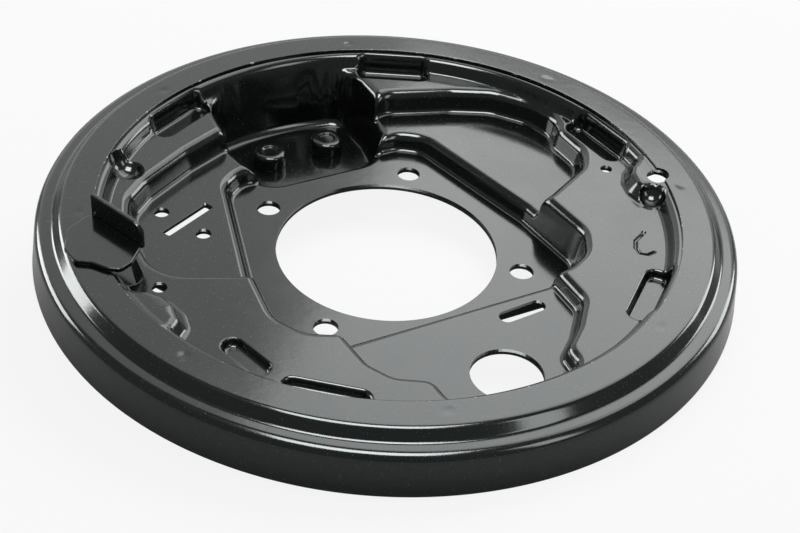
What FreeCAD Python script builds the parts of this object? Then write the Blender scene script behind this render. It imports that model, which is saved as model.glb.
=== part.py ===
import FreeCAD, Part
from FreeCAD import Vector
import math
import os

# Drum brake backing plate, millimetres, +Z towards the axle side.
# Origin: centre of the hub bore on the hub face. +Y points to the wheel cylinder.

# main plate: sheet and the levels of its upper side
sheet = 3.0
hub_z = 0.0
recess_z = 9.0
seat_z = 12.0
table_z = 21.0
pocket_z = -11.0
pad_depth = 4.0
pad_bend = 1.5
draft = 8.0
pocket_draft = 10.0
bend_in = 2.0
bend_out = bend_in + sheet

# dust ring
ring_sheet = 1.6
ring_top = 29.8
ring_inner_r = 135.4
flat_r = 150.0
step_drop = 4.75
step_run = 4.2
step_r = 161.5
lip_run = 2.6
lip_drop = 24.5

# bore, bolts and cut holes
bore_r = 52.8
bolt_d = 11.5
upper_pair = 102.2
lower_pair = 77.6
upper_y = 40.2
lower_y = -51.2

cylinder_d = 32.0
cylinder_y = 110.0
locator = (-128.0, 34.0)
locator_d = 10.5

# shoe anchor, its rivets and the cable bracket
anchor_y = -101.0
anchor_w = 62.0
anchor_h = 26.0
anchor_t = 9.0
rivet_pitch = 32.5
rivet_shank_d = 10.0
rivet_head_d = 16.5
rivet_head_h = 8.0
bracket_sheet = 2.2
bracket_rise = 14.0

# spot welds on the ring's flat
weld_count = 8
weld_start = 27.0
weld_r = 141.5

# derived levels and radii
flange_z = ring_top - ring_sheet
flange_r = flat_r - 1.5
flange_foot_r = ring_inner_r - 5.4
flange_run = 2.5
air_top = ring_top + 12.0
well_top = air_top - 3.0
nudge = 0.02
lip_z = ring_top - lip_drop


def grow(outline, by):
    # moves every side of a counter-clockwise outline outwards
    count = len(outline)
    lines = []
    for i in range(count):
        ax, ay = outline[i]
        bx, by_ = outline[(i + 1) % count]
        length = math.hypot(bx - ax, by_ - ay)
        nx, ny = (by_ - ay) / length, -(bx - ax) / length
        lines.append((ax + nx * by, ay + ny * by, bx - ax, by_ - ay))
    moved = []
    for i in range(count):
        px, py, pu, pv = lines[i - 1]
        qx, qy, qu, qv = lines[i]
        k = ((qx - px) * qv - (qy - py) * qu) / (pu * qv - pv * qu)
        moved.append((px + k * pu, py + k * pv))
    return moved


def leaning_prism(outline, floor, top, slope):
    # prism whose walls lean outwards from floor to top
    wide = grow(outline, (top - floor) * math.tan(math.radians(slope)))
    low = [Vector(x, y, floor) for x, y in outline]
    high = [Vector(x, y, top) for x, y in wide]
    faces = [Part.Face(Part.makePolygon((low + low[:1])[::-1])), Part.Face(Part.makePolygon(high + high[:1]))]
    for i in range(len(low)):
        faces.append(Part.Face(Part.makePolygon([low[i - 1], low[i], high[i], high[i - 1], low[i - 1]])))
    shell = Part.Shell(faces)
    shell.sewShape()
    return Part.Solid(shell)


def mirrored(outline):
    return [(-x, y) for x, y in reversed(outline)]


def round_corners(solid, radius):
    upright = [e for e in solid.Edges if abs(e.tangentAt(e.FirstParameter).z) > 0.7]
    return solid.makeFillet(radius, upright)


def turned(points):
    ring = [Vector(r, 0, z) for r, z in points]
    solid = Part.Face(Part.makePolygon(ring + [ring[0]])).revolve(Vector(), Vector(0, 0, 1), 360)
    return solid


def pad_outline(angle):
    a = math.radians(angle)
    ux, uy = math.cos(a), math.sin(a)
    corners = []
    for r, t in ((pad_in_r, -0.5), (pad_out_r, -0.5), (pad_out_r, 0.5), (pad_in_r, 0.5)):
        corners.append((r * ux - t * pad_length * uy, r * uy + t * pad_length * ux))
    return corners


# outlines of the pressed levels, counter-clockwise
hub_half = [(44, -73), (54, -66), (72, 6), (76, 46), (69, 58), (57, 64)]
hub_outline = hub_half + mirrored(hub_half)
right_recess = [(30, -97), (47, -92), (67, -83), (94, -67), (105, -57), (110, -44), (113, -24), (113, -8),
                (107, 2), (78, 14), (30, 14)]
left_recess = [(-30, 14), (-78, 14), (-107, -1), (-114, -12), (-113, -31), (-117, -42), (-113, -57),
               (-99, -74), (-80, -83), (-30, -99)]
seat_outline = [(52, 45), (56, 66), (54, 88), (48, 99), (34, 107), (32, 140), (-24, 140), (-26, 112),
                (-38, 102), (-50, 88), (-50, 45)]
pocket_outline = [(28, -69.5), (-24, -69.5), (-33, -78), (-36, -95), (-34, -140), (36, -140), (39, -95), (36, -78)]

pad_in_r = 121.5
pad_out_r = 131.5
pad_length = 36.0
pad_angles = (51.0, 129.0, -7.0, -173.0, -61.5, -118.0)


def level_edges(solid, level, mouth):
    # edges in a level plane: round a mouth the wall lies below them, round a floor above them
    picked = []
    for edge in solid.Edges:
        box = edge.BoundBox
        if box.ZLength < 1e-4 and abs(box.ZMin - level) < 1e-3:
            walls = [f for f in solid.ancestorsOfType(edge, Part.Face) if f.BoundBox.ZLength > 1e-3]
            if len(walls) == 1 and (walls[0].CenterOfMass.z < level) == mouth:
                picked.append(edge)
    return picked


def well(outline, floor, slope, corner, bend):
    # the air in one pressed level, with a rounded foot
    solid = round_corners(leaning_prism(outline, floor, well_top, slope), corner).Solids[0]
    return solid.makeFillet(bend, level_edges(solid, floor, False)).Solids[0]


def lip(solid, patch, level, bend):
    # the same air with its rim rolled over into the level that the patch stands on
    joined = patch.fuse(solid).removeSplitter()
    rim = level_edges(joined, level, True)
    return joined.makeFillet(bend, rim).Solids[0]


def air_above(skin, foot_bend, rim_bend, step_bend):
    # everything above the upper side (skin 0) or above the lower side (skin = sheet)
    foot = flange_foot_r + skin
    base = turned([(0, table_z - skin), (foot, table_z - skin), (foot + flange_run, flange_z - skin),
                   (step_r + 20, flange_z - skin), (step_r + 20, air_top), (0, air_top)])
    bound = turned([(0, pocket_z - 10), (foot - 3.5, pocket_z - 10), (foot + 0.5, flange_z),
                    (foot + 0.5, air_top), (0, air_top)])
    hub = well(grow(hub_outline, skin), hub_z - skin, draft, 6.0, foot_bend)
    right = well(grow(right_recess, skin), recess_z - skin, draft, 7.0, foot_bend)
    left = well(grow(left_recess, skin), recess_z - skin, draft, 7.0, foot_bend)
    seat = well(grow(seat_outline, skin), seat_z - skin, draft, 5.0, foot_bend).common(bound)
    pocket = well(grow(pocket_outline, skin), pocket_z - skin, pocket_draft, 8.0, foot_bend).common(bound)
    made = [base]
    count = 0
    for solid in (hub, right, left, seat, pocket):
        count += 1
        level = table_z - skin + nudge * count
        patch = Part.makeCylinder(foot - 0.7, well_top - 1 - 0.1 * count - level, Vector(0, 0, level))
        made.append(lip(solid, patch, level, rim_bend))
    for angle in pad_angles:
        count += 1
        level = table_z - skin + nudge * count
        pad = well(grow(pad_outline(angle), skin), table_z - pad_depth - skin, draft, 3.0, pad_bend + skin / 2)
        patch = Part.makeCylinder(foot - 0.7, well_top - 1 - 0.1 * count - level, Vector(0, 0, level))
        made.append(lip(pad, patch, level, pad_bend))
    for solid, outline, floor in ((hub, right_recess, recess_z), (hub, left_recess, recess_z),
                                  (pocket, hub_outline, hub_z), (pocket, right_recess, recess_z)):
        count += 1
        level = floor - skin + nudge * count
        patch = leaning_prism(grow(outline, skin - 0.05), level, well_top - 1 - 0.1 * count, draft)
        made.append(lip(solid, patch, level, step_bend))
    made.append(left)
    body = made[0]
    for solid in made[1:]:
        body = body.fuse(solid)
    return body


def drill(x, y, diameter, low, high):
    return Part.makeCylinder(diameter / 2, high - low, Vector(x, y, low))


def slot(x, y, length, width, angle, low, high, square):
    # round-ended slot, or a square-ended one
    half = length / 2 - (0 if square else width / 2)
    body = Part.makeBox(2 * half, width, high - low, Vector(-half, -width / 2, low))
    if not square:
        for end in (-half, half):
            body = body.fuse(Part.makeCylinder(width / 2, high - low, Vector(end, 0, low)))
        body = body.removeSplitter()
    body.rotate(Vector(), Vector(0, 0, 1), angle)
    body.translate(Vector(x, y, 0))
    return body


def backing_plate():
    above = air_above(0.0, bend_in, bend_out, 3.5)
    below = air_above(sheet, bend_out, bend_in, 0.8)
    blank = Part.makeCylinder(flange_r, flange_z + 60, Vector(0, 0, -60))
    plate = below.common(blank).cut(above)
    tools = [Part.makeCylinder(bore_r, 4 * sheet, Vector(0, 0, -2 * sheet))]
    for half, y in ((upper_pair / 2, upper_y), (lower_pair / 2, lower_y)):
        for x in (-half, half):
            tools.append(drill(x, y, bolt_d, -2 * sheet, 2 * sheet))
    tools.append(drill(0, cylinder_y, cylinder_d, seat_z - 2 * sheet, seat_z + 2 * sheet))
    tools.append(slot(-27.5, 77, 24, 7.5, 4, seat_z - 2 * sheet, seat_z + 2 * sheet, False))
    tools.append(slot(82.7, -46.5, 30.5, 5.6, 26, recess_z - 2 * sheet, recess_z + 2 * sheet, True))
    for x, y, d in ((92, -56, 7.5), (80, -33, 7.5)):
        tools.append(drill(x, y, d, recess_z - 2 * sheet, recess_z + 2 * sheet))
    for x, y, d in ((117, 10, 7.0), (-117, 8, 6.0)):
        tools.append(drill(x, y, d, table_z - 2 * sheet, table_z + sheet))
    tools.append(drill(*locator, locator_d, table_z - 3 * sheet, air_top))
    for x in (-rivet_pitch / 2, rivet_pitch / 2):
        tools.append(drill(x, anchor_y, rivet_shank_d, pocket_z - 2 * sheet, pocket_z + sheet))
    return plate.cut(tools)


def dust_ring():
    outer = [(ring_inner_r, ring_top), (flat_r, ring_top), (flat_r + step_run, ring_top - step_drop),
             (step_r, ring_top - step_drop), (step_r + lip_run, lip_z)]
    inner = [(r - (0 if i == 0 else ring_sheet * (0.9 if i > 2 else 0.35)), z - (0 if i == 4 else ring_sheet))
             for i, (r, z) in enumerate(outer)]
    ring = turned(outer + inner[::-1])
    bends = []
    for edge in ring.Edges:
        box = edge.BoundBox
        if box.ZLength < 1e-6:
            for side, radius in ((outer, 2.4), (inner, 1.2)):
                for r, z in side[1:4]:
                    if abs(box.ZMin - z) < 1e-3 and abs(box.XMax - r) < 1e-3:
                        bends.append((edge, radius))
    for radius in (2.4, 1.2):
        ring = ring.makeFillet(radius, [e for e, r in bends if r == radius]) if radius == 2.4 else ring
    dimples = []
    for k in range(weld_count):
        a = math.radians(weld_start + k * 360.0 / weld_count)
        dimples.append(Part.makeSphere(9.0, Vector(weld_r * math.cos(a), weld_r * math.sin(a), ring_top + 8.6)))
    return ring.cut(dimples + [drill(*locator, locator_d, lip_z, air_top)])


def shoe_anchor():
    low = pocket_z - sheet - anchor_t
    plan = Part.makeBox(anchor_w, anchor_h, anchor_t, Vector(-anchor_w / 2, anchor_y - anchor_h / 2, low))
    plan = plan.makeFillet(6.0, [e for e in plan.Edges if abs(e.tangentAt(e.FirstParameter).z) > 0.9])
    holes = [drill(x, anchor_y, rivet_shank_d, low - 1, low + anchor_t + 1)
             for x in (-rivet_pitch / 2, rivet_pitch / 2)]
    return plan.cut(holes)


def anchor_rivet(x):
    low = pocket_z - sheet - anchor_t
    r = rivet_shank_d / 2
    head = rivet_head_d / 2
    top = pocket_z + rivet_head_h
    rivet = turned([(0, low - 3.0), (head - 2.0, low - 3.0), (head, low), (r, low), (r, pocket_z),
                    (head, pocket_z), (head, top - 1.2), (head - 1.2, top), (4.2, top), (3.4, top - 0.8), (0, top - 0.8)])
    rivet.translate(Vector(x, anchor_y, 0))
    return rivet


def cable_bracket():
    foot_z = ring_top
    outline = [(131, -46), (149, -30), (152, -17), (147, -6), (141, -3), (137, 3), (131, 6), (125, 3), (121, -8)]
    foot = Part.Face(Part.makePolygon([Vector(x, y, foot_z) for x, y in outline + outline[:1]]))
    foot = foot.extrude(Vector(0, 0, bracket_sheet))
    ax, ay = outline[0]
    bx, by_ = outline[-1]
    length = math.hypot(bx - ax, by_ - ay)
    wall = Part.makeBox(length, bracket_sheet, bracket_rise, Vector(0, 0, foot_z))
    far = [e for e in wall.Edges if abs(e.tangentAt(e.FirstParameter).y) > 0.9 and e.CenterOfMass.x > 1
           and e.CenterOfMass.z > foot_z + 1]
    wall = wall.makeFillet(bracket_rise * 0.45, far)
    wall.rotate(Vector(), Vector(0, 0, 1), math.degrees(math.atan2(by_ - ay, bx - ax)))
    wall.translate(Vector(ax, ay, 0))
    return foot.fuse(wall).removeSplitter()


if __name__ == "__main__":
    os.makedirs("parts", exist_ok=True)
    pieces = {
        "backing_plate": backing_plate(),
        "dust_ring": dust_ring(),
        "shoe_anchor": shoe_anchor(),
        "anchor_rivet_left": anchor_rivet(-rivet_pitch / 2),
        "anchor_rivet_right": anchor_rivet(rivet_pitch / 2),
        "cable_bracket": cable_bracket(),
    }
    for name, shape in pieces.items():
        print(name, shape.isValid(), round(shape.Volume), len(shape.Solids), shape.BoundBox)
        shape.exportStep("parts/" + name + ".step")
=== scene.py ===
import bmesh
import bpy
import math
import numpy as np
from mathutils import Matrix, Vector
from mathutils.geometry import delaunay_2d_cdt


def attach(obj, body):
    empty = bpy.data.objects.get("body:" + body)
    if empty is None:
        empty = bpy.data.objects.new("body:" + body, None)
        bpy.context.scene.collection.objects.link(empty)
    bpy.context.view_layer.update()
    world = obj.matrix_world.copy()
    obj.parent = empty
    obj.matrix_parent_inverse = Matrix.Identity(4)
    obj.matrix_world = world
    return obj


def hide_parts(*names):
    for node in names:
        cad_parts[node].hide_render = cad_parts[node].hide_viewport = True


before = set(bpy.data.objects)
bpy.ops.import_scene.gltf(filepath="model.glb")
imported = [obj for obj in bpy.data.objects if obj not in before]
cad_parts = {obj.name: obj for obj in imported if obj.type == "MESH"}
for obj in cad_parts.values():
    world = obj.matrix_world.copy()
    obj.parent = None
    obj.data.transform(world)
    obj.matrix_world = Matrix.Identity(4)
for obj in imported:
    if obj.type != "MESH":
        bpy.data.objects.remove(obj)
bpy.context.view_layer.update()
mm = 0.001

# levels of the pressed sheet, millimetres, as in the CAD source
levels = {"hub": 0.0, "recess": 9.0, "seat": 12.0, "table": 21.0, "pocket": -11.0, "flange": 28.2}
sheet = 3.0
draft = math.radians(8)
pocketDraft = math.radians(10)
padDepth = 4.0


def flatOutline(points, radius, step=0.5):
    # closed outline with rounded corners, as short straight runs
    path = []
    count = len(points)
    for i in range(count):
        before, here, after = (np.array(points[(i + k) % count], float) for k in (-1, 0, 1))
        back, ahead = before - here, after - here
        reach = min(np.linalg.norm(back), np.linalg.norm(ahead)) * 0.48
        back /= np.linalg.norm(back)
        ahead /= np.linalg.norm(ahead)
        turn = math.pi - math.acos(np.clip(back @ ahead, -1, 1))
        cut = min(radius * math.tan(turn / 2), reach)
        r = cut / math.tan(turn / 2)
        start, end = here + back * cut, here + ahead * cut
        bisector = (back + ahead) / np.linalg.norm(back + ahead)
        centre = here + bisector * math.hypot(r, cut)
        a = math.atan2(*(start - centre)[::-1])
        b = math.atan2(*(end - centre)[::-1])
        sweep = (b - a + math.pi) % (2 * math.pi) - math.pi
        pieces = max(2, int(abs(sweep) * r / step))
        for k in range(pieces + 1):
            t = a + sweep * k / pieces
            path.append(centre + r * np.array((math.cos(t), math.sin(t))))
    return np.array(path)


def densify(path, step=0.5):
    filled = []
    for i in range(len(path)):
        a, b = path[i], path[(i + 1) % len(path)]
        length = np.linalg.norm(b - a)
        if length < 1e-4:
            continue
        pieces = max(1, int(round(length / step)))
        for k in range(pieces):
            filled.append(a + (b - a) * k / pieces)
    return np.array(filled)


def signedDistance(xy, path):
    # distance to a closed path, negative inside it, only rough more than 20 mm outside
    ax, ay = path[:, 0], path[:, 1]
    bx, by = np.roll(ax, -1), np.roll(ay, -1)
    dx, dy = bx - ax, by - ay
    length2 = np.maximum(dx ** 2 + dy ** 2, 1e-12)
    slope = dx / np.where(dy == 0, 1e-12, dy)
    beyondX = np.maximum(ax.min() - xy[:, 0], xy[:, 0] - ax.max())
    beyondY = np.maximum(ay.min() - xy[:, 1], xy[:, 1] - ay.max())
    out = np.maximum(beyondX, beyondY)
    close = np.flatnonzero(out < 20)
    for start in range(0, len(close), 512):
        pick = close[start:start + 512]
        px, py = xy[pick, 0][:, None], xy[pick, 1][:, None]
        t = np.clip(((px - ax) * dx + (py - ay) * dy) / length2, 0, 1)
        d = np.sqrt(((ax + t * dx - px) ** 2 + (ay + t * dy - py) ** 2).min(1))
        crossing = (ay > py) != (by > py)
        inside = ((crossing & (px < ax + (py - ay) * slope)).sum(1) % 2) == 1
        out[pick] = np.where(inside, -d, d)
    return out


def arcHeight(x, radius, turn):
    # how far a rolled edge lies below the flat, x from the sharp mouth outwards
    tangent = radius * math.tan(turn / 2)
    onWall = -tangent * math.cos(turn)
    a = np.clip(x, onWall, tangent)
    arc = -radius + np.sqrt(np.maximum(radius ** 2 - (a - tangent) ** 2, 0))
    return np.where(x < onWall, x * math.tan(turn), np.where(x > tangent, 0.0, arc))


def wallHeight(d, floor, foot, lean):
    # height of a leaning wall with a rounded foot, d from the foot outwards
    turn = math.pi / 2 - lean
    tangent = foot * np.tan(turn / 2)
    ends = -tangent + foot * np.sin(turn)
    arc = foot - np.sqrt(np.maximum(foot ** 2 - (np.clip(d, -tangent, ends) + tangent) ** 2, 0))
    return floor + np.where(d < -tangent, 0.0, np.where(d < ends, arc, d / np.tan(lean)))


def rolledMin(ground, wall, lip, lean):
    # the lower of the two, with the meeting edge rolled over
    turn = math.pi / 2 - lean
    return ground + arcHeight((wall - ground) * math.tan(lean), lip, turn)


def roundMax(a, b, k):
    # the larger of two distances, rounded with radius k where they meet
    inner = np.minimum(-k, np.maximum(a, b))
    return inner + np.hypot(np.maximum(a + k, 0), np.maximum(b + k, 0))


def mirrored(points):
    return [(-x, y) for x, y in reversed(points)]


def padOutline(angle, inner=121.5, outer=131.5, length=36.0):
    a = math.radians(angle)
    u = np.array((math.cos(a), math.sin(a)))
    v = np.array((-u[1], u[0]))
    corners = ((inner, -0.5), (outer, -0.5), (outer, 0.5), (inner, 0.5))
    return [tuple(r * u + t * length * v) for r, t in corners]


hubHalf = [(44, -73), (54, -66), (72, 6), (76, 46), (69, 58), (57, 64)]
outlines = {
    "hub": hubHalf + mirrored(hubHalf),
    "right": [(30, -97), (47, -92), (67, -83), (94, -67), (105, -57), (110, -44), (113, -24), (113, -8),
              (107, 2), (78, 14), (30, 14)],
    "left": [(-30, 14), (-78, 14), (-107, -1), (-114, -12), (-113, -31), (-117, -42), (-113, -57),
             (-99, -74), (-80, -83), (-30, -99)],
    "seat": [(52, 45), (56, 66), (54, 88), (48, 99), (34, 107), (32, 140), (-24, 140), (-26, 112),
             (-38, 102), (-50, 88), (-50, 45)],
    "pocket": [(28, -69.5), (-24, -69.5), (-33, -78), (-36, -95), (-34, -140), (36, -140), (39, -95), (36, -78)],
}
padAngles = (51.0, 129.0, -7.0, -173.0, -61.5, -118.0)

wells = []


def addWell(points, floor, corner, lean, foot, lip, around, farWall=None):
    # a pressed level: outline, floor, corner radius in plan, lean of the walls, radii of foot and lip,
    # the levels around it, and the radius of its far wall
    edge = flatOutline(points, corner)
    wells.append(dict(edge=edge, path=densify(edge), floor=floor, lean=lean, foot=foot, lip=lip,
                      around=around, farWall=farWall))


def levelsOf(*names):
    return [levels[name] for name in names]


for side in ("right", "left"):
    addWell(outlines[side], levels["recess"], 16, draft, 2.5, 5, levelsOf("table"))
addWell(outlines["seat"], levels["seat"], 9, draft, 2.5, 4.5, levelsOf("table", "flange"), 129.0)
addWell(outlines["hub"], levels["hub"], 14, draft, 2.5, 4.5, levelsOf("table", "recess", "seat"))
addWell(outlines["pocket"], levels["pocket"], 14, pocketDraft, 5, 4.5,
        levelsOf("table", "recess", "hub", "flange"), 126.8)
for padAngle in padAngles:
    addWell(padOutline(padAngle), levels["table"] - padDepth, 4, draft, 1.8, 1.8, levelsOf("table"))

flange = dict(foot=130.0, run=2.5, footBend=2.0, lip=4.0)
flange["lean"] = math.atan2(flange["run"], levels["flange"] - levels["table"])
farLean = math.radians(4.6)


def wellHeight(well, xy):
    d = signedDistance(xy, well["edge"])
    lean = well["lean"]
    if well["farWall"]:
        # the wall towards the rim is a turned one and stands steeper
        far = np.hypot(xy[:, 0], xy[:, 1]) - well["farWall"]
        share = np.clip((far - d + 6) / 12, 0, 1)
        lean = lean + (farLean - lean) * share
        d = roundMax(d, far, 7.0)
    return wallHeight(d, well["floor"], well["foot"], lean)


def baseHeight(r):
    low = wallHeight(r - flange["foot"], levels["table"], flange["footBend"], flange["lean"])
    top = np.full_like(r, levels["flange"])
    return rolledMin(top, low, flange["lip"], flange["lean"])


# islands of the rim's level, a trough, ball hollows and a lanced hook
islandLean = math.radians(32)
islandHalf = [(-150, 5), (-131, 10), (-122, 16), (-117, 22), (-114.5, 31), (-116, 41), (-122, 47), (-150, 54)]
islands = [flatOutline(points, 7) for points in (islandHalf, mirrored(islandHalf))]
trough = flatOutline([(107, 55), (100, 78), (93, 76), (100, 53)], 3.3)
troughDepth = 3.6
# place, ball radius, depth, and how far the sheet there stands over the table
ballHollows = [((100.0, -78.0), 8.5, 4.0, 0), ((-120.0, 41.0), 7.0, 4.2, 3.5)]
lancePath = np.array([(-102.0, 60.2), (-97.0, 62.6), (-93.6, 67.5), (-93.2, 71.5), (-96.2, 74.0), (-100.0, 73.4)])
lance = dict(depth=1.3, half=0.75)


def softMin(a, b, k):
    # the lower of two heights, blended over k where they cross
    h = np.clip(0.5 + 0.5 * (b - a) / k, 0, 1)
    return b + (a - b) * h - k * h * (1 - h)


def islandHeight(xy, edge):
    d = signedDistance(xy, edge)
    wall = levels["table"] - d / math.tan(islandLean)
    top = np.full(len(xy), levels["flange"] - 0.02)
    return rolledMin(top, wall, 3.5, islandLean)


def lineDistance(xy, path):
    d = np.full(len(xy), 1e3)
    for a, b in zip(path[:-1], path[1:]):
        t = np.clip(((xy - a) @ (b - a)) / ((b - a) @ (b - a)), 0, 1)
        d = np.minimum(d, np.hypot(*(xy - a - t[:, None] * (b - a)).T))
    return d


def smallForms(xy, z):
    # the sheet's height with the small forms pressed into it
    for edge in islands:
        z = -rolledMin(-z, -islandHeight(xy, edge), 3.0, islandLean)
    for (x, y), ball, deep, raised in ballHollows:
        rho = np.hypot(xy[:, 0] - x, xy[:, 1] - y)
        middle = levels["table"] - deep + ball + raised
        bowl = middle - np.sqrt(np.maximum(ball ** 2 - rho ** 2, 0)) + 8 * np.maximum(rho - ball, 0)
        z = softMin(z, bowl, 1.6)
    d = signedDistance(xy, trough)
    groove = wallHeight(d, levels["table"] - troughDepth, 1.5, math.radians(20))
    z = np.where(d < 12, softMin(z, groove, 1.2), z)
    d = lineDistance(xy, lancePath)
    return z - lance["depth"] * np.exp(-(d / lance["half"]) ** 4)


def height(xy, leaveOut=None):
    # upper side of the sheet, without the well whose number is left out
    z = baseHeight(np.hypot(xy[:, 0], xy[:, 1]))
    for i, well in enumerate(wells):
        if i == leaveOut:
            continue
        z = rolledMin(z, wellHeight(well, xy), well["lip"], well["lean"])
    return smallForms(xy, z)


def outward(path):
    ahead = np.roll(path, -1, 0) - np.roll(path, 1, 0)
    normal = np.c_[ahead[:, 1], -ahead[:, 0]]
    return normal / np.linalg.norm(normal, axis=1)[:, None]


def stations(well):
    # distances from the outline where the section bends
    lean, foot, lip = well["lean"], well["foot"], well["lip"]
    turn = math.pi / 2 - lean
    tangent = foot * math.tan(turn / 2)
    found = [-tangent + foot * math.sin(turn * k / 6) for k in range(7)]
    edge = lip * math.tan(turn / 2)
    for level in well["around"]:
        mouth = (level - well["floor"]) * math.tan(lean)
        found += [mouth + edge - lip * math.sin(turn * k / 8) for k in range(9)]
    found.sort()
    kept = [found[0]]
    for d in found[1:]:
        if d - kept[-1] > 0.12:
            kept.append(d)
    return kept


# round holes as x, y and radius, then the slots
cylinderBore = (0.0, 110.0, 16.0)
hubBore = (0.0, 0.0, 52.8)
locator = (-130.0, 31.5, 5.25)
roundHoles = [hubBore, cylinderBore, locator]
roundHoles += [(x, 40.2, 5.75) for x in (-51.1, 51.1)] + [(x, -51.2, 5.75) for x in (-38.8, 38.8)]
roundHoles += [(92, -56, 3.75), (80, -33, 3.75), (117, 10, 3.5), (-117, 8, 3.0), (-104, 59, 1.3)]
slots = [dict(at=(-27.5, 77), length=24, width=7.5, angle=4, corner=3.7),
         dict(at=(82.7, -46.5), length=30.5, width=5.6, angle=26, corner=0.6)]
rimRadius = 148.5


def circlePath(x, y, radius, step):
    count = max(24, int(2 * math.pi * radius / step))
    t = np.arange(count) * 2 * math.pi / count
    return np.c_[x + radius * np.cos(t), y + radius * np.sin(t)]


def slotPath(slot, grow=0.0, step=0.6):
    u, v = slot["length"] / 2, slot["width"] / 2
    corners = [(-u, -v), (u, -v), (u, v), (-u, v)]
    path = flatOutline(corners, slot["corner"], step)
    if grow:
        path = densify(path, step)
        path = path + outward(path) * grow
    a = math.radians(slot["angle"])
    turn = np.array(((math.cos(a), math.sin(a)), (-math.sin(a), math.cos(a))))
    return path @ turn + np.array(slot["at"])


def resample(path, step):
    # keeps about one point per step
    kept = [0]
    run = 0.0
    for i in range(1, len(path)):
        run += np.linalg.norm(path[i] - path[i - 1])
        if run >= step:
            kept.append(i)
            run = 0.0
    return path[kept]


class Net:
    # points and edges that the triangulation keeps
    def __init__(self):
        self.points = []
        self.edges = []
        self.cells = {}

    def near(self, p, reach):
        cx, cy = int(p[0] // 2), int(p[1] // 2)
        for i in range(cx - 1, cx + 2):
            for j in range(cy - 1, cy + 2):
                for q in self.cells.get((i, j), ()):
                    if (q[0] - p[0]) ** 2 + (q[1] - p[1]) ** 2 < reach ** 2:
                        return True
        return False

    def add(self, p):
        self.points.append((float(p[0]), float(p[1])))
        self.cells.setdefault((int(p[0] // 2), int(p[1] // 2)), []).append(self.points[-1])
        return len(self.points) - 1

    def line(self, path, keep=None):
        # a closed line, broken where its points aren't kept
        if keep is None:
            keep = np.ones(len(path), bool)
        ids = [self.add(p) if k else None for p, k in zip(path, keep)]
        self.edges += [(a, b) for a, b in zip(ids, ids[1:] + ids[:1]) if a is not None and b is not None]


def holeDistance(xy):
    # distance outside the nearest hole's edge
    d = np.full(len(xy), 1e3)
    for x, y, r in roundHoles:
        d = np.minimum(d, np.hypot(xy[:, 0] - x, xy[:, 1] - y) - r)
    for slot in slots:
        d = np.minimum(d, signedDistance(xy, slotPath(slot)))
    return d


def radiusOf(xy):
    return np.hypot(xy[:, 0], xy[:, 1])


holeClearance = 0.6


def clearOfHoles(xy, clearance=holeClearance):
    return holeDistance(xy) > clearance


def addHoleLines(net, step):
    # each hole's edge, and a second line just outside it
    for grow in (0.0, 0.4):
        for x, y, r in roundHoles:
            path = circlePath(x, y, r + grow, min(step, max(0.6, r / 8)))
            net.line(path, radiusOf(path) < rimRadius - 0.1)
        for slot in slots:
            net.line(resample(densify(slotPath(slot, grow)), 0.8))


def addRimLines(net, step):
    # the plate's edge, and the foot and lip of the step up to the flange
    net.line(circlePath(0, 0, rimRadius, 1.5 * step))
    turn = math.pi / 2 - flange["lean"]
    tangent = flange["footBend"] * math.tan(turn / 2)
    radii = [flange["foot"] - tangent + flange["footBend"] * math.sin(turn * k / 5) for k in range(6)]
    edge = flange["lip"] * math.tan(turn / 2)
    radii += [flange["foot"] + flange["run"] + edge - flange["lip"] * math.sin(turn * k / 6) for k in range(7)]
    for r in radii:
        path = circlePath(0, 0, r, step)
        bare = height(path) - baseHeight(np.full(len(path), r)) > -1e-3
        net.line(path, bare & clearOfHoles(path))


def addWellLines(net, step):
    # lines along each well's foot and lip, only where that well makes the surface
    for i, well in enumerate(wells):
        normal = outward(well["path"])
        for d in stations(well):
            path = well["path"] + normal * d
            actual = signedDistance(path, well["edge"])
            inner = well["path"] + normal * (d - 0.4)
            used = np.abs(height(inner) - height(inner, i)) > 1e-3
            keep = (np.abs(actual - d) < 0.02) & used & clearOfHoles(path)
            keep &= radiusOf(path) < rimRadius - 1
            if well["farWall"]:
                keep &= radiusOf(path) < well["farWall"] + 4
            pick = np.zeros(len(path), bool)
            pick[::max(1, int(step / 0.5))] = True
            net.line(path[pick], keep[pick])
        if well["farWall"]:
            turn = math.pi / 2 - farLean
            tangent = well["foot"] * math.tan(turn / 2)
            for k in range(7):
                path = circlePath(0, 0, well["farWall"] - tangent + well["foot"] * math.sin(turn * k / 6), step)
                net.line(path, (signedDistance(path, well["edge"]) < 0) & clearOfHoles(path))


def addSmallFormLines(net):
    # lines along the islands, hollows and trough, and a fine grid round the lance
    for edge in islands:
        path = densify(edge)
        for d in (-5.6, -5.0, -4.4, -3.8, -3.0, -2.0, -1.0, 0.0, 0.6, 1.2, 1.8):
            line = path + outward(path) * d
            keep = (radiusOf(line) < flange["foot"] + 1) & (np.abs(signedDistance(line, edge) - d) < 0.03)
            net.line(line[::2], (keep & clearOfHoles(line))[::2])
    for (x, y), ball, deep, raised in ballHollows:
        for k in range(1, 13):
            line = circlePath(x, y, ball * k / 11.5, 1.0)
            net.line(line, clearOfHoles(line, 0.5))
    path = densify(trough)
    for d in (-2.6, -2.0, -1.4, -0.8, -0.3, 0.2, 0.7, 1.2, 1.7, 2.2):
        line = path + outward(path) * d
        net.line(line[::2], (np.abs(signedDistance(line, trough) - d) < 0.03)[::2])
    reach, fine = 2.0, 0.36
    low, high = lancePath.min(axis=0) - 2.5, lancePath.max(axis=0) + 2.5
    grid = np.array([(x, y) for x in np.arange(low[0], high[0], fine) for y in np.arange(low[1], high[1], fine)])
    for p in grid[(lineDistance(grid, lancePath) < reach) & clearOfHoles(grid)]:
        net.add(p)


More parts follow.
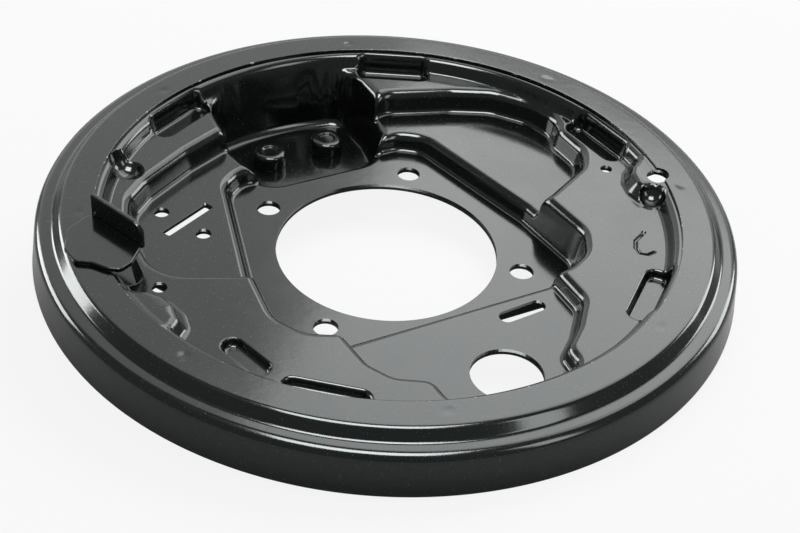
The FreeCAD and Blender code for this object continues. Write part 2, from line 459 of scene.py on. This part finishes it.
def addFill(net, coarse=4.0):
    # evenly spread points between the lines
    row = coarse * 0.866
    fill = []
    for j in range(int(2 * rimRadius / row) + 1):
        for k in range(int(2 * rimRadius / coarse) + 1):
            fill.append((-rimRadius + (k + 0.5 * (j % 2)) * coarse, -rimRadius + j * row))
    fill = np.array(fill)
    fill = fill[radiusOf(fill) < rimRadius - 1]
    for p in fill[clearOfHoles(fill, 0.8)]:
        if not net.near(p, 1.2):
            net.add(p)


def plateNet(step):
    net = Net()
    addHoleLines(net, step)
    addRimLines(net, step)
    addWellLines(net, step)
    addSmallFormLines(net)
    addFill(net)
    return net


def plateMesh(name, step=1.5):
    # the sheet: upper side from the height, lower side along its normals, walls at every free edge
    net = plateNet(step)
    print("net", len(net.points), len(net.edges))
    verts, edges, faces = delaunay_2d_cdt([Vector(p) for p in net.points], net.edges, [], 0, 1e-4)[:3]
    xy = np.array([(v.x, v.y) for v in verts])
    faces = np.array([tuple(f) for f in faces])
    middle = xy[faces].mean(1)
    keep = clearOfHoles(middle, 0) & (radiusOf(middle) < rimRadius - 0.01)
    faces = faces[keep]
    used = np.unique(faces)
    index = np.full(len(xy), -1)
    index[used] = np.arange(len(used))
    faces, xy = index[faces], xy[used]
    e = 0.02
    z = height(xy)
    gx = (height(xy + (e, 0)) - z) / e
    gy = (height(xy + (0, e)) - z) / e
    normal = np.c_[-gx, -gy, np.ones(len(xy))]
    normal /= np.linalg.norm(normal, axis=1)[:, None]
    top = np.c_[xy, z]
    low = top - normal * sheet
    edgeCount = {}
    for f in faces:
        for a, b in ((f[0], f[1]), (f[1], f[2]), (f[2], f[0])):
            edgeCount[(a, b)] = edgeCount.get((a, b), 0) + 1
    rim = [(a, b) for a, b in edgeCount if (b, a) not in edgeCount]
    count = len(xy)
    allFaces = [tuple(f) for f in faces] + [(f[2] + count, f[1] + count, f[0] + count) for f in faces]
    allFaces += [(b, a, a + count, b + count) for a, b in rim]
    mesh = bpy.data.meshes.new(name)
    mesh.from_pydata((np.vstack((top, low)) * mm).tolist(), [], [tuple(int(i) for i in f) for f in allFaces])
    mesh.validate()
    return mesh, np.vstack((normal, -normal)), len(rim)


def addObject(name, mesh, node):
    # a coated piece in the place of a node
    obj = bpy.data.objects.new(name, mesh)
    bpy.context.scene.collection.objects.link(obj)
    mesh.materials.append(coat)
    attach(obj, "root")
    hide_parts(node)
    return obj


def smooth(mesh):
    mesh.polygons.foreach_set("use_smooth", [True] * len(mesh.polygons))


def lathe(name, section, count, x, y):
    # turns an open section of (radius, z) points about the upright axis through x, y
    verts, faces = [], []
    for k in range(count):
        a = 2 * math.pi * k / count
        for r, z in section:
            verts.append(((x + r * math.cos(a)) * mm, (y + r * math.sin(a)) * mm, z * mm))
    n = len(section)
    for k in range(count):
        here, after = k * n, (k + 1) % count * n
        for i in range(n - 1):
            faces.append((here + i, after + i, after + i + 1, here + i + 1))
    mesh = bpy.data.meshes.new(name)
    mesh.from_pydata(verts, [], faces)
    return mesh


def rounded(points, radii, steps=6):
    # section with each corner rounded by its radius
    out = []
    count = len(points)
    for i in range(count):
        p, q, s = (np.array(points[(i + k) % count], float) for k in (-1, 0, 1))
        if radii[i] == 0:
            out.append(tuple(q))
            continue
        u, v = (p - q) / np.linalg.norm(p - q), (s - q) / np.linalg.norm(s - q)
        half = math.acos(np.clip(u @ v, -1, 1)) / 2
        cut = radii[i] / math.tan(half)
        centre = q + (u + v) / np.linalg.norm(u + v) * radii[i] / math.sin(half)
        a = math.atan2(*((q + u * cut) - centre)[::-1])
        b = math.atan2(*((q + v * cut) - centre)[::-1])
        sweep = (b - a + math.pi) % (2 * math.pi) - math.pi
        for k in range(steps + 1):
            t = a + sweep * k / steps
            out.append(tuple(centre + radii[i] * np.array((math.cos(t), math.sin(t)))))
    return out


def coatMaterial():
    # glossy black dip coat with dust specks and small chips
    m = bpy.data.materials.new("blackCoat")
    m.use_nodes = True
    nodes, links = m.node_tree.nodes, m.node_tree.links
    shader = nodes["Principled BSDF"]
    shader.inputs["Specular IOR Level"].default_value = 0.5
    shader.inputs["Specular Tint"].default_value = (0.94, 1.0, 0.99, 1)
    place = nodes.new("ShaderNodeTexCoord").outputs["Object"]

    def noise(scale, detail):
        n = nodes.new("ShaderNodeTexNoise")
        n.inputs["Scale"].default_value = scale
        n.inputs["Detail"].default_value = detail
        links.new(place, n.inputs["Vector"])
        return n.outputs["Fac"]

    def combine(kind, a, b):
        n = nodes.new("ShaderNodeMath")
        n.operation = kind
        for socket, value in ((n.inputs[0], a), (n.inputs[1], b)):
            if isinstance(value, (int, float)):
                socket.default_value = value
            else:
                links.new(value, socket)
        return n.outputs[0]

    def band(value, low, high):
        n = nodes.new("ShaderNodeMapRange")
        n.inputs["From Min"].default_value = low
        n.inputs["From Max"].default_value = high
        links.new(value, n.inputs["Value"])
        return n.outputs["Result"]

    specks = band(noise(2600, 0), 0.80, 0.84)
    smears = band(noise(28, 4), 0.45, 0.75)
    split = nodes.new("ShaderNodeSeparateXYZ")
    links.new(place, split.inputs[0])
    x, y, z = split.outputs
    radius = combine("SQRT", combine("ADD", combine("MULTIPLY", x, x), combine("MULTIPLY", y, y)), 0.0)
    # chips sit on the ring's outer bend and along its inner edge
    outerBend = combine("MULTIPLY", band(radius, 0.1607, 0.1613), band(z, 0.0238, 0.0246))
    innerEdge = combine("MULTIPLY", combine("SUBTRACT", 1.0, band(radius, 0.1357, 0.1360)),
                        combine("SUBTRACT", band(z, 0.0290, 0.0294), band(z, 0.0299, 0.0301)))
    chipNoise = band(noise(160, 3), 0.63, 0.66)
    nickNoise = band(noise(420, 2), 0.64, 0.67)
    chips = combine("MAXIMUM", combine("MULTIPLY", outerBend, chipNoise),
                    combine("MULTIPLY", innerEdge, nickNoise))
    marks = combine("MAXIMUM", combine("MULTIPLY", specks, 0.35), chips)
    tint = nodes.new("ShaderNodeMix")
    tint.data_type = "RGBA"
    tint.inputs[6].default_value = (0.006, 0.0065, 0.0065, 1)
    tint.inputs[7].default_value = (0.62, 0.62, 0.60, 1)
    links.new(marks, tint.inputs[0])
    links.new(tint.outputs[2], shader.inputs["Base Color"])
    rough = combine("ADD", combine("MULTIPLY", smears, 0.06), 0.13)
    links.new(combine("ADD", rough, combine("MULTIPLY", marks, 0.4)), shader.inputs["Roughness"])
    bump = nodes.new("ShaderNodeBump")
    bump.inputs["Strength"].default_value = 0.06
    bump.inputs["Distance"].default_value = 0.0004
    links.new(noise(220, 3), bump.inputs["Height"])
    links.new(bump.outputs[0], shader.inputs["Normal"])
    return m


coat = coatMaterial()

plate, plateNormals, rimEdges = plateMesh("backingPlate")
print("plate", len(plate.vertices), len(plate.polygons), rimEdges)
smooth(plate)
plate.normals_split_custom_set_from_vertices([Vector(n) for n in plateNormals])
addObject("backingPlate", plate, "backing_plate")

# the ring's section as corners of (radius, z) with their bends, and its row of weld dimples
ringLook = dict(
    corners=[(135.4, 29.8), (150.0, 29.8), (154.2, 25.05), (161.5, 25.05), (164.1, 5.3), (162.5, 5.3),
             (160.1, 23.45), (153.6, 23.45), (149.4, 28.2), (135.4, 28.2)],
    bends=[0.35, 3.2, 2.6, 4.2, 0.5, 0.3, 2.6, 4.2, 1.6, 0.2],
    top=29.8, segments=600, notchSegments=24, weldAngles=[math.radians(27.0 + 45 * k) for k in range(8)],
    weldRow=141.5, weldRadius=2.7, weldDepth=0.25)


def ringMesh(name):
    # the turned ring, with its weld dimples and the notch of the locating hole
    section = rounded(ringLook["corners"], ringLook["bends"], 8)
    flatTop = [(135.75 + 0.7 * k, ringLook["top"]) for k in range(1, 18)]
    firstBend = next(i for i, (r, z) in enumerate(section) if r > 147)
    section = section[:firstBend] + flatTop + section[firstBend:]
    notchX, notchY, notchR = locator
    notchAngle = math.atan2(notchY, notchX)
    nearNotch = math.radians(3)
    angles = [2 * math.pi * k / ringLook["segments"] for k in range(ringLook["segments"])]
    angles = [a for a in angles if abs((a - notchAngle + math.pi) % (2 * math.pi) - math.pi) > nearNotch]
    fine = ringLook["notchSegments"]
    angles += [notchAngle + math.radians(3.0 * k / fine) for k in range(-fine, fine + 1)]
    angles.sort(key=lambda a: a % (2 * math.pi))
    welds = [(ringLook["weldRow"] * math.cos(w), ringLook["weldRow"] * math.sin(w)) for w in ringLook["weldAngles"]]
    verts, faces = [], []
    for a in angles:
        c, t = math.cos(a), math.sin(a)
        along = notchX * c + notchY * t
        across = abs(notchX * t - notchY * c)
        inner = 0.0
        if along > 0 and across < notchR:
            inner = along + math.sqrt(notchR ** 2 - across ** 2)
        for r, z in section:
            r = max(r, inner)
            if z > ringLook["top"] - 0.1:
                for weldX, weldY in welds:
                    off = math.hypot(r * c - weldX, r * t - weldY)
                    z -= ringLook["weldDepth"] * max(0.0, 1 - (off / ringLook["weldRadius"]) ** 2)
            verts.append((r * c * mm, r * t * mm, z * mm))
    n, count = len(section), len(angles)
    for k in range(count):
        here, after = k * n, (k + 1) % count * n
        for i in range(n):
            j = (i + 1) % n
            faces.append((here + i, here + j, after + j, after + i))
    mesh = bpy.data.meshes.new(name)
    mesh.from_pydata(verts, [], faces)
    return mesh


def fixNormals(mesh):
    # joins points that coincide and turns every face outwards
    bm = bmesh.new()
    bm.from_mesh(mesh)
    bmesh.ops.remove_doubles(bm, verts=bm.verts, dist=1e-7)
    bmesh.ops.dissolve_degenerate(bm, edges=bm.edges, dist=1e-7)
    bmesh.ops.recalc_face_normals(bm, faces=bm.faces)
    bm.to_mesh(mesh)
    bm.free()


ring = ringMesh("dustRing")
fixNormals(ring)
smooth(ring)
addObject("dustRing", ring, "dust_ring")
print("ring", len(ring.polygons))


# formed heads at both ends, the upper one dished
rivet = dict(section=[(0.0, -26.0), (6.2, -26.0), (8.25, -23.0), (5.0, -22.6), (5.0, -11.0), (8.25, -11.0),
                      (8.25, -3.0), (4.4, -3.0), (3.6, -3.9), (0.0, -3.9)],
             bends=[0, 1.0, 0.6, 0.2, 0.3, 0.4, 1.6, 0.5, 0.5, 0], x=16.25, y=-101.0)
for name, node, side in (("rivetLeft", "anchor_rivet_left", -1), ("rivetRight", "anchor_rivet_right", 1)):
    mesh = lathe(name, rounded(rivet["section"], rivet["bends"], 4), 72, side * rivet["x"], rivet["y"])
    fixNormals(mesh)
    smooth(mesh)
    addObject(name, mesh, node)
print("rivets")

bracket = dict(sheet=2.2, low=29.8, rise=12.4, start=(131.0, -38.0), end=(118.5, -7.0), cornerRound=5.5, inset=0.3,
               foot=[(131, -38), (144, -31), (149.6, -18), (148, -8), (142, -4.5), (137, 2), (132, 5), (126, 2),
                     (118.5, -7)])


def bracketMesh(name):
    # bent bracket: a foot on the ring and an upright lip with one rounded corner
    bm = bmesh.new()
    low, thick = bracket["low"], bracket["sheet"] * mm

    def thicken(corners, vec):
        # a flat outline made solid along vec
        face = bm.faces.new([bm.verts.new(c) for c in corners])
        grown = bmesh.ops.extrude_face_region(bm, geom=[face])
        moved = [v for v in grown["geom"] if isinstance(v, bmesh.types.BMVert)]
        bmesh.ops.translate(bm, verts=moved, vec=vec)

    footPath = flatOutline(bracket["foot"], 2.5, 0.8)
    thicken([(x * mm, y * mm, low * mm) for x, y in footPath], (0, 0, thick))
    ax, ay = bracket["start"]
    bx, by = bracket["end"]
    length = math.hypot(bx - ax, by - ay)
    ux, uy = (bx - ax) / length, (by - ay) / length
    r, inset = bracket["cornerRound"], bracket["inset"]
    high = low + bracket["rise"]
    profile = [(inset, low + inset), (length, low + inset)]
    profile += [(length - r + r * math.cos(t), high - r + r * math.sin(t)) for t in np.linspace(0, math.pi / 2, 9)]
    profile += [(inset, high)]
    thicken([((ax + ux * d) * mm, (ay + uy * d) * mm, z * mm) for d, z in profile], (-uy * thick, ux * thick, 0))
    bmesh.ops.recalc_face_normals(bm, faces=bm.faces)
    mesh = bpy.data.meshes.new(name)
    bm.to_mesh(mesh)
    bm.free()
    return mesh


bracketObj = addObject("cableBracket", bracketMesh("cableBracket"), "cable_bracket")
bevel = bracketObj.modifiers.new("edges", "BEVEL")
bevel.width = 0.5 * mm
bevel.segments = 2
bevel.limit_method = "ANGLE"
bevel.angle_limit = math.radians(40)
print("bracket")

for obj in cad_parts.values():
    obj.data.materials.clear()
    obj.data.materials.append(coat)


# the floor touches the rivets at rivetSide and the ring's edge at ringSide, both as y and z
floorLook = dict(albedo=0.10, glow=0.88, glossyAlbedo=0.85, rivetSide=(-0.0945, -0.0262), ringSide=(0.1641, 0.0052),
                 middle=-0.32, halfWide=0.75, halfDeep=0.62, corners=64)


def makeFloor():
    # the pale table that the part lies on, tilted because the part rests on its rivets and rim
    y1, z1 = floorLook["rivetSide"]
    y2, z2 = floorLook["ringSide"]
    count = floorLook["corners"]
    verts = []
    for k in range(count):
        a = 2 * math.pi * k / count
        y = floorLook["middle"] + floorLook["halfDeep"] * math.sin(a)
        verts.append((floorLook["halfWide"] * math.cos(a), y, z1 + (y - y1) * (z2 - z1) / (y2 - y1)))
    mesh = bpy.data.meshes.new("floor")
    mesh.from_pydata(verts, [], [tuple(range(count))])
    floor = bpy.data.objects.new("floor", mesh)
    bpy.context.scene.collection.objects.link(floor)
    m = bpy.data.materials.new("floorWhite")
    m.use_nodes = True
    nodes, links = m.node_tree.nodes, m.node_tree.links
    nodes.remove(nodes["Principled BSDF"])
    out = nodes["Material Output"]
    diffuse = nodes.new("ShaderNodeBsdfDiffuse")
    glow = nodes.new("ShaderNodeEmission")
    rays = nodes.new("ShaderNodeLightPath")

    def byRay(shown, mirrored):
        level = nodes.new("ShaderNodeMapRange")
        level.inputs["To Min"].default_value = shown
        level.inputs["To Max"].default_value = mirrored
        links.new(rays.outputs["Is Glossy Ray"], level.inputs["Value"])
        return level.outputs["Result"]

    links.new(byRay(floorLook["albedo"], floorLook["glossyAlbedo"]), diffuse.inputs["Color"])
    links.new(byRay(floorLook["glow"], 0.0), glow.inputs["Strength"])
    both = nodes.new("ShaderNodeAddShader")
    links.new(diffuse.outputs[0], both.inputs[0])
    links.new(glow.outputs[0], both.inputs[1])
    links.new(both.outputs[0], out.inputs["Surface"])
    mesh.materials.append(m)


makeFloor()
print("floor")


def makeWorld(shown, mirrored, ambient):
    # white backdrop for the camera, a dim room in the gloss, plain light for the rest
    world = bpy.data.worlds.new("studio")
    bpy.context.scene.world = world
    world.use_nodes = True
    nodes, links = world.node_tree.nodes, world.node_tree.links
    rays = nodes.new("ShaderNodeLightPath")
    gloss = nodes.new("ShaderNodeMapRange")
    gloss.inputs["To Min"].default_value = ambient
    gloss.inputs["To Max"].default_value = mirrored
    links.new(rays.outputs["Is Glossy Ray"], gloss.inputs["Value"])
    camera = nodes.new("ShaderNodeMix")
    links.new(rays.outputs["Is Camera Ray"], camera.inputs[0])
    links.new(gloss.outputs["Result"], camera.inputs[2])
    camera.inputs[3].default_value = shown
    links.new(camera.outputs[0], nodes["Background"].inputs["Strength"])
    nodes["Background"].inputs["Color"].default_value = (1, 1, 1, 1)


makeWorld(shown=0.96, mirrored=0.3, ambient=0.3)


def softbox(name, toward, distance, size, radiance, onlyGloss=True):
    # rectangular lamp that faces the part from the given direction, usually seen only in the gloss
    data = bpy.data.lights.new(name, "AREA")
    data.shape = "RECTANGLE"
    data.size, data.size_y = size
    data.energy = radiance * math.pi * size[0] * size[1]
    lamp = bpy.data.objects.new(name, data)
    bpy.context.scene.collection.objects.link(lamp)
    direction = Vector(toward).normalized()
    lamp.location = direction * distance
    lamp.rotation_mode = "QUATERNION"
    lamp.rotation_quaternion = direction.to_track_quat("Z", "Y")
    lamp.visible_diffuse = not onlyGloss


softbox("softboxMain", (-0.53, -0.36, 0.77), 1.3, (1.1, 0.9), 3.4, onlyGloss=False)
softbox("softboxBack", (-0.40, -0.80, 0.50), 2.0, (3.6, 2.2), 1.1)
softbox("softboxTop", (0.12, 0.16, 1.0), 1.3, (0.7, 0.6), 20.0)
softbox("softboxLeft", (0.62, -0.75, 0.30), 1.3, (0.7, 0.5), 12.0)
softbox("softboxRight", (-1.0, 0.02, 0.36), 1.3, (0.5, 0.5), 9.0)
softbox("softboxFront", (-0.35, 0.85, 0.60), 1.4, (0.3, 0.7), 6.0)


def addCamera():
    # the photograph's viewpoint, in the part's frame
    focalPixels, imageWidth, place = 1463.684, 800, Vector((0.275111, 0.479033, 0.426735))
    right = Vector((-0.884705, 0.461249, 0.067433))
    down = Vector((0.24061, 0.575747, -0.781424))
    ahead = Vector((-0.399255, -0.675104, -0.620347))
    data = bpy.data.cameras.new("camera")
    data.sensor_width = 36.0
    data.lens = data.sensor_width * focalPixels / imageWidth
    cam = bpy.data.objects.new("camera", data)
    bpy.context.scene.collection.objects.link(cam)
    turn = Matrix((right, -down, -ahead)).transposed()
    cam.matrix_world = Matrix.Translation(place) @ turn.to_4x4()
    bpy.context.scene.camera = cam


addCamera()
bpy.context.scene.view_settings.view_transform = "Standard"
print("camera")
